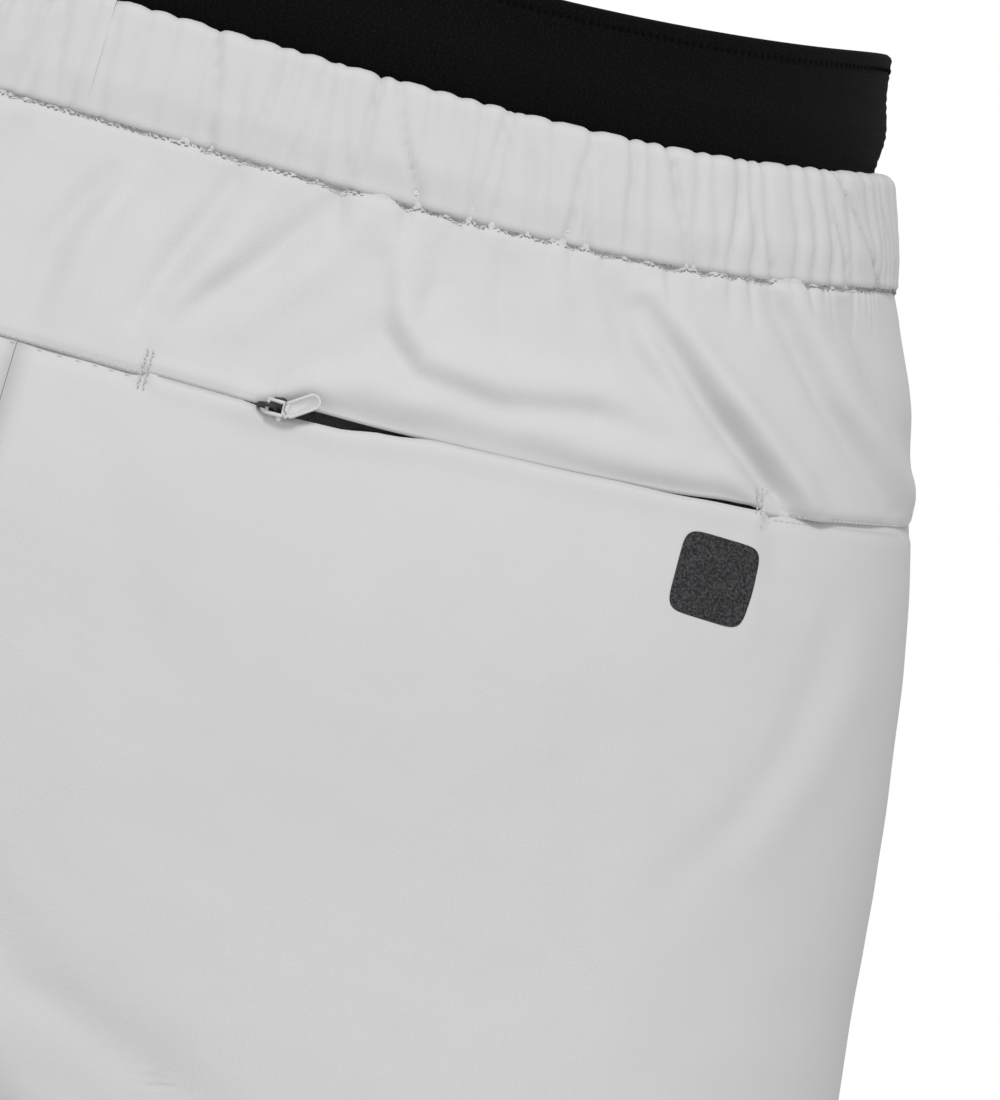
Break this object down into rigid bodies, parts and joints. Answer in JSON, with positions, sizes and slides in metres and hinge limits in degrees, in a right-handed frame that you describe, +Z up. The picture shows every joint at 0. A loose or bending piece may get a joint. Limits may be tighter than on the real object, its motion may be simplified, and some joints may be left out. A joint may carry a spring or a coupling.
{
  "type": "padded shorts",
  "caption": "Loose woven outer short over a padded knit liner, with a gathered elastic waistband, back yoke, zipped back pocket and foam pads at hip, thigh, seat and tailbone",
  "frame": {"origin": "centre of the object's box at the level of the liner cuffs' lower edges, which it stands on", "axes": "+Z up, +Y the way the wearer faces, +X the wearer's right side"},
  "size_m": [0.506, 0.2218, 0.4996],
  "materials": {
    "shell_cloth": "light grey woven microfibre",
    "band_cloth": "light grey woven microfibre, gathered",
    "liner_cloth": "black knit",
    "liner_band": "black brushed jacquard elastic",
    "pocket_mesh": "pale mesh and tape",
    "coil_plastic": "matt",
    "slider_metal": "satin paint",
    "pull_plastic": "matt",
    "thread": "thread",
    "mark_ink": "speckled reflective print",
    "pad_foam": "soft closed-cell foam",
    "elastic": "knitted elastic",
    "label": "plain satin tape"
  },
  "bodies": {
    "shorts": {"back_yoke": "shell_cloth", "waistband_casing": "band_cloth", "waistband_elastic": "elastic", "liner_waistband": "liner_band", "care_label": "label", "tailbone_pad": "pad_foam", "tailbone_pad_cover": "liner_cloth", "pocket_bag_outer": "pocket_mesh", "pocket_bag_inner": "pocket_mesh", "zip_coil_upper": "coil_plastic", "zip_coil_lower": "coil_plastic", "zip_tape_upper": "pocket_mesh", "zip_tape_lower": "pocket_mesh", "zip_bottom_stop": "slider_metal", "zip_top_stop": "slider_metal", "bartack_inner": "thread", "bartack_outer": "thread", "reflective_mark": "mark_ink", "outer_front_right": "shell_cloth", "outer_front_left": "shell_cloth", "outer_back_right": "shell_cloth", "outer_back_left": "shell_cloth", "hem_facing_right": "shell_cloth", "hem_facing_left": "shell_cloth", "liner_front_right": "liner_cloth", "liner_front_left": "liner_cloth", "liner_back_right": "liner_cloth", "liner_back_left": "liner_cloth", "liner_cuff_right": "liner_band", "liner_cuff_left": "liner_band", "hip_pad_right": "pad_foam", "hip_pad_left": "pad_foam", "thigh_pad_right": "pad_foam", "thigh_pad_left": "pad_foam", "seat_pad_right": "pad_foam", "seat_pad_left": "pad_foam", "hip_pad_cover_right": "liner_cloth", "hip_pad_cover_left": "liner_cloth", "thigh_pad_cover_right": "liner_cloth", "thigh_pad_cover_left": "liner_cloth", "seat_pad_cover_right": "liner_cloth", "seat_pad_cover_left": "liner_cloth"},
    "slider": {"zip_slider": "slider_metal"},
    "pull": {"zip_pull": "pull_plastic"}
  },
  "joints": [
    {"name": "slider_travel", "type": "hinge", "parent": "shorts", "child": "slider", "pos_m": [0.03483, 0.14755, 0.44747], "axis": [0.0049, -0.2492, 0.9684], "range_deg": [0, 23.5]},
    {"name": "pull_swing", "type": "hinge", "parent": "slider", "child": "pull", "pos_m": [0.05714, -0.10724, 0.3827], "axis": [0.0308, -0.1757, -0.984], "range_deg": [0, 155]}
  ]
}
